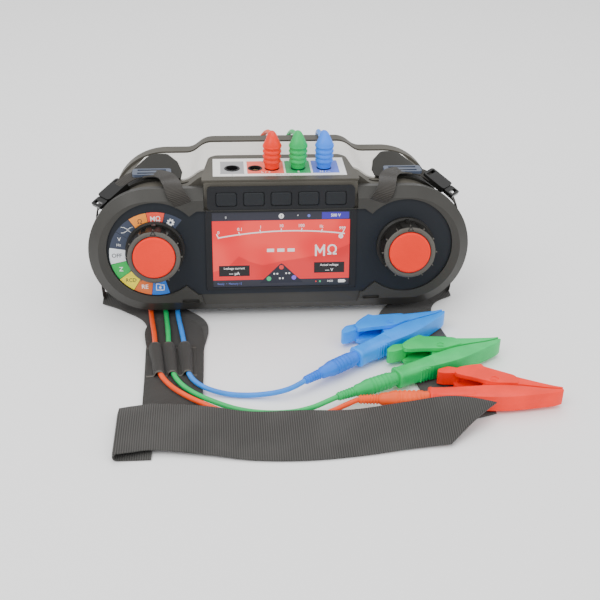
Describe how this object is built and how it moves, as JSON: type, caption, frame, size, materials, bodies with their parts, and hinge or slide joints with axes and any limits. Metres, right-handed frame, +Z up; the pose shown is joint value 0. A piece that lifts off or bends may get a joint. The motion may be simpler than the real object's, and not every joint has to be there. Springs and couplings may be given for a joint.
{
  "type": "insulation resistance tester",
  "caption": "Bench-top insulation and installation tester with tilted screen face, two test knobs, neck strap and coloured clip leads.",
  "frame": {"origin": "centre of the base pad under the instrument, on the plane that it stands on", "axes": "+X to the right of a person facing the screen, +Y from the screen to the back, +Z up"},
  "size_m": [0.3485, 0.3715, 0.1435],
  "materials": {
    "case_plastic": "fine textured dark warm grey plastic",
    "bumper_rubber": "satin over-moulded dark grey rubber",
    "fascia_print": "matt blue-grey printed fascia",
    "window_glass": "clear display window",
    "display": "lit colour display",
    "key_rubber": "matt silicone keys",
    "knob_plastic": "fluted dark plastic",
    "cap_red": "coral red plastic",
    "board": "green circuit board with dark parts",
    "steel": "plated steel",
    "contact": "gold plated contact",
    "cell": "printed cell jackets in a tray",
    "switch_plastic": "black switch bodies",
    "copper": "taped winding on a ferrite core",
    "label_white": "ribbed off-white plate",
    "pad_rubber": "ribbed dark grey pads",
    "foot_rubber": "black rubber",
    "webbing": "ribbed dark grey webbing",
    "slider_metal": "blue-grey slider",
    "buckle_plastic": "black acetal",
    "lead_red": "orange-red silicone",
    "lead_green": "green silicone",
    "lead_blue": "blue silicone",
    "boot_mixed": "silicone boots in the three lead colours",
    "clip_red": "red clip moulding",
    "clip_green": "green clip moulding",
    "clip_blue": "blue clip moulding"
  },
  "bodies": {
    "root": {"battery_pack": "cell", "cable_front_blue": "lead_blue", "cable_front_green": "lead_green", "cable_front_red": "lead_red", "cable_rear_blue": "lead_blue", "cable_rear_green": "lead_green", "cable_rear_red": "lead_red", "case_gasket": "foot_rubber", "case_screws": "steel", "clip_handle_blue": "clip_blue", "clip_handle_green": "clip_green", "clip_handle_red": "clip_red", "clip_pins": "steel", "clip_springs": "steel", "coil_blue": "lead_blue", "coil_green": "lead_green", "coil_red": "lead_red", "display_module": "display", "display_window": "window_glass", "fascia_panel": "fascia_print", "feet": "foot_rubber", "front_bumper": "bumper_rubber", "front_case": "case_plastic", "high_voltage_transformer": "copper", "jack_contacts": "contact", "jack_housings": "switch_plastic", "keypad_frame": "fascia_print", "lead_boots": "boot_mixed", "lead_holder": "webbing", "main_board": "board", "plug_blue": "lead_blue", "plug_green": "lead_green", "plug_red": "lead_red", "probe_socket": "switch_plastic", "rear_case": "case_plastic", "rotary_switches": "switch_plastic", "screen_frame": "fascia_print", "shoulder_pads": "pad_rubber", "socket_panel": "case_plastic", "strap_buckles": "buckle_plastic", "strap_front": "webbing", "strap_left_run": "webbing", "strap_loops": "webbing", "strap_right_run": "webbing", "strap_risers": "webbing", "strap_sliders": "slider_metal", "top_label": "label_white"},
    "clip_jaw_blue": {"clip_jaw_blue": "clip_blue"},
    "clip_jaw_green": {"clip_jaw_green": "clip_green"},
    "clip_jaw_red": {"clip_jaw_red": "clip_red"},
    "key_1": {"key_1": "key_rubber"},
    "key_2": {"key_2": "key_rubber"},
    "key_3": {"key_3": "key_rubber"},
    "key_4": {"key_4": "key_rubber"},
    "key_5": {"key_5": "key_rubber"},
    "left_knob": {"left_knob": "knob_plastic"},
    "left_test_button": {"left_test_button": "cap_red"},
    "right_knob": {"right_knob": "knob_plastic"},
    "right_test_button": {"right_test_button": "cap_red"}
  },
  "joints": [
    {"name": "range_knob_turn", "type": "hinge", "parent": "root", "child": "left_knob", "pos_m": [-0.1004, -0.05059, 0.06155], "axis": [0, -0.9837, 0.1797], "range_deg": [-23, 184]},
    {"name": "function_knob_turn", "type": "hinge", "parent": "root", "child": "right_knob", "pos_m": [0.1004, -0.05059, 0.06155], "axis": [0, -0.9837, 0.1797], "continuous": true},
    {"name": "left_test_push", "type": "slide", "parent": "left_knob", "child": "left_test_button", "axis": [0, 0.9837, -0.1797], "range_m": [0, 0.002], "stiffness_N_per_m": 700, "springref_m": -0.0008},
    {"name": "right_test_push", "type": "slide", "parent": "right_knob", "child": "right_test_button", "axis": [0, 0.9837, -0.1797], "range_m": [0, 0.002], "stiffness_N_per_m": 700, "springref_m": -0.0008},
    {"name": "key_1_push", "type": "slide", "parent": "root", "child": "key_1", "axis": [0, 0.9837, -0.1797], "range_m": [0, 0.001], "stiffness_N_per_m": 600, "springref_m": -0.0005},
    {"name": "key_2_push", "type": "slide", "parent": "root", "child": "key_2", "axis": [0, 0.9837, -0.1797], "range_m": [0, 0.001], "stiffness_N_per_m": 600, "springref_m": -0.0005},
    {"name": "key_3_push", "type": "slide", "parent": "root", "child": "key_3", "axis": [0, 0.9837, -0.1797], "range_m": [0, 0.001], "stiffness_N_per_m": 600, "springref_m": -0.0005},
    {"name": "key_4_push", "type": "slide", "parent": "root", "child": "key_4", "axis": [0, 0.9837, -0.1797], "range_m": [0, 0.001], "stiffness_N_per_m": 600, "springref_m": -0.0005},
    {"name": "key_5_push", "type": "slide", "parent": "root", "child": "key_5", "axis": [0, 0.9837, -0.1797], "range_m": [0, 0.001], "stiffness_N_per_m": 600, "springref_m": -0.0005},
    {"name": "clip_red_open", "type": "hinge", "parent": "root", "child": "clip_jaw_red", "pos_m": [0.14681, -0.179, 0.0092], "axis": [0, 0, 1], "range_deg": [0, 24], "stiffness_Nm_per_rad": 0.5, "springref_deg": -20.05},
    {"name": "clip_green_open", "type": "hinge", "parent": "root", "child": "clip_jaw_green", "pos_m": [0.11694, -0.13132, 0.0092], "axis": [0, 0, 1], "range_deg": [0, 24], "stiffness_Nm_per_rad": 0.5, "springref_deg": -20.05},
    {"name": "clip_blue_open", "type": "hinge", "parent": "root", "child": "clip_jaw_blue", "pos_m": [0.08434, -0.09525, 0.0092], "axis": [0, 0, 1], "range_deg": [0, 24], "stiffness_Nm_per_rad": 0.5, "springref_deg": -20.05}
  ]
}
